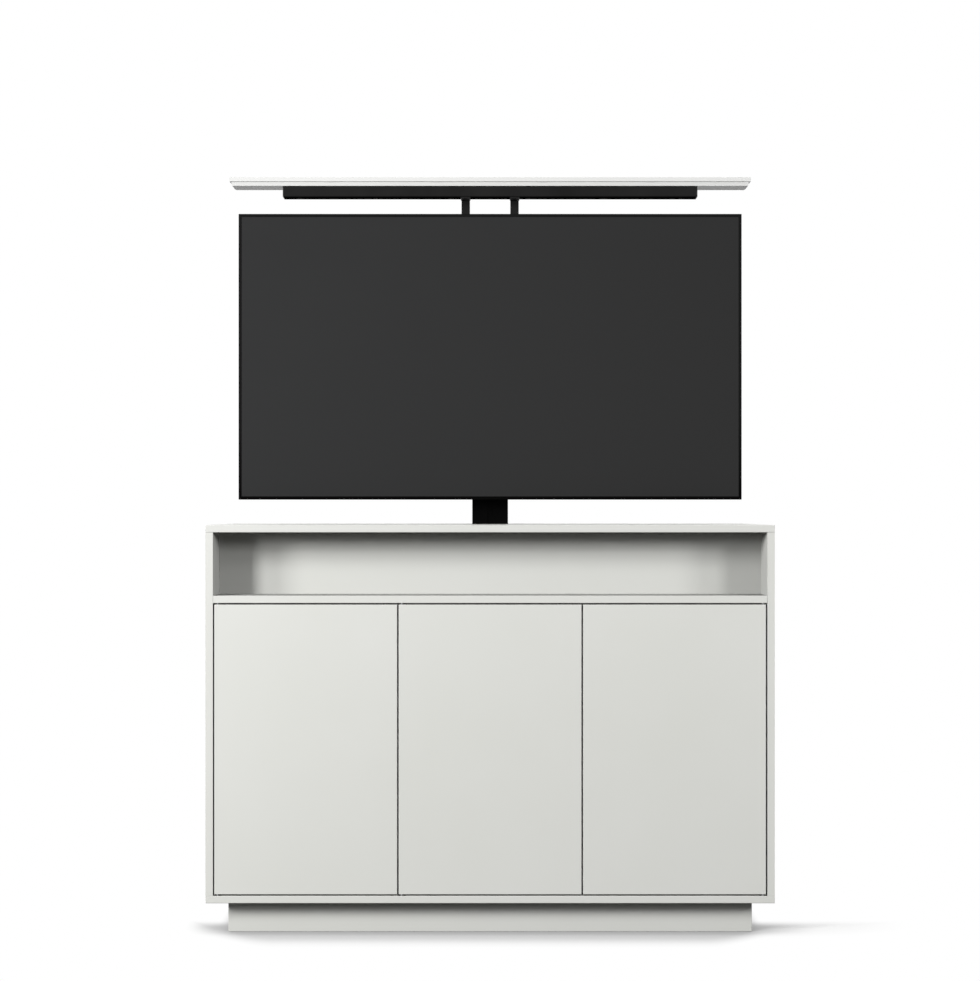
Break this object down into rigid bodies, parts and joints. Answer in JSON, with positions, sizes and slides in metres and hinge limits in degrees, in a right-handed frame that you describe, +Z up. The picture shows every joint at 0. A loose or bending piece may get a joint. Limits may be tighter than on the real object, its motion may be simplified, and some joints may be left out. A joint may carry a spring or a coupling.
{
  "type": "tv lift cabinet",
  "caption": "Low cabinet with an open niche over flush handleless doors on a recessed plinth; a column lift raises a television and its lid out of the top",
  "frame": {"origin": "on the floor, under the middle of the cabinet", "axes": "+X to the right seen from the front, +Y to the rear (doors face -Y), +Z up"},
  "size_m": [1.4, 0.5, 1.917],
  "materials": {
    "lacquer": "satin lacquer",
    "lacquer_lid": "satin lacquer",
    "back_board": "matt lacquer",
    "column_black": "black powder coat",
    "frame_black": "satin black powder coat",
    "steel": "zinc plated",
    "tv_plastic": "matt",
    "tv_glass": "anti-glare",
    "black_plastic": "matt",
    "white_plastic": "smooth",
    "grey_plastic": "smooth"
  },
  "bodies": {
    "carcase": {"side_panel_left": "lacquer", "side_panel_right": "lacquer", "top_panel": "lacquer", "bottom_panel": "lacquer", "niche_shelf": "lacquer", "niche_back": "lacquer", "divider_panel": "lacquer", "partition_left": "lacquer", "partition_right": "lacquer", "plinth_front": "lacquer", "plinth_back": "lacquer", "plinth_sides": "lacquer", "shelf_left": "lacquer", "shelf_centre": "lacquer", "shelf_right": "lacquer", "back_panel": "back_board", "back_battens": "back_board", "plinth_braces": "back_board", "column_outer": "column_black", "column_base": "frame_black", "column_bracket": "frame_black", "gearbox": "frame_black", "shelf_supports": "steel", "pivot_plates": "steel", "lift_motor": "steel", "levelling_feet": "black_plastic", "control_box": "black_plastic", "cable_grommet": "black_plastic", "latch_bodies": "grey_plastic", "outer_glides": "grey_plastic"},
    "column_middle": {"column_middle": "column_black", "middle_glides": "grey_plastic"},
    "lift_head": {"column_inner": "column_black", "inner_glides": "grey_plastic", "head_bracket": "frame_black", "upright_left": "frame_black", "upright_right": "frame_black", "mount_plate": "frame_black", "tv_rail_left": "frame_black", "tv_rail_right": "frame_black", "tv_bolts": "steel", "tv_bezel": "tv_plastic", "tv_screen": "tv_glass", "tv_rear_cover": "tv_plastic", "lid_bar": "frame_black", "lid_bar_caps": "black_plastic", "lid_under_board": "lacquer_lid", "lid_board": "lacquer_lid"},
    "door_left": {"door_left": "lacquer", "door_pins_left": "steel", "latch_strike_left": "steel"},
    "door_centre": {"door_centre": "lacquer", "door_pins_centre": "steel", "latch_strike_centre": "steel"},
    "door_right": {"door_right": "lacquer", "door_pins_right": "steel", "latch_strike_right": "steel"},
    "plunger_left": {"latch_plunger_left": "white_plastic"},
    "plunger_centre": {"latch_plunger_centre": "white_plastic"},
    "plunger_right": {"latch_plunger_right": "white_plastic"}
  },
  "joints": [
    {"name": "lift", "type": "slide", "parent": "carcase", "child": "lift_head", "axis": [0, 0, 1], "range_m": [-0.895, 0]},
    {"name": "middle_stage", "type": "slide", "parent": "carcase", "child": "column_middle", "axis": [0, 0, 1], "range_m": [-0.4475, 0]},
    {"name": "door_left", "type": "hinge", "parent": "carcase", "child": "door_left", "pos_m": [-0.6714, -0.243, 0.458], "axis": [0, 0, -1], "range_deg": [0, 100]},
    {"name": "door_centre", "type": "hinge", "parent": "carcase", "child": "door_centre", "pos_m": [-0.21793, -0.243, 0.458], "axis": [0, 0, -1], "range_deg": [0, 100]},
    {"name": "door_right", "type": "hinge", "parent": "carcase", "child": "door_right", "pos_m": [0.6714, -0.243, 0.458], "axis": [0, 0, 1], "range_deg": [0, 100]},
    {"name": "latch_left", "type": "slide", "parent": "carcase", "child": "plunger_left", "axis": [0, -1, 0], "range_m": [0, 0.012]},
    {"name": "latch_centre", "type": "slide", "parent": "carcase", "child": "plunger_centre", "axis": [0, -1, 0], "range_m": [0, 0.012]},
    {"name": "latch_right", "type": "slide", "parent": "carcase", "child": "plunger_right", "axis": [0, -1, 0], "range_m": [0, 0.012]}
  ],
  "couplings": [
    {"joint": "middle_stage", "follows": "lift", "ratio": 0.5},
    {"joint": "latch_left", "follows": "door_left", "m_per_rad": 0.0068754},
    {"joint": "latch_centre", "follows": "door_centre", "m_per_rad": 0.0068754},
    {"joint": "latch_right", "follows": "door_right", "m_per_rad": 0.0068754}
  ]
}
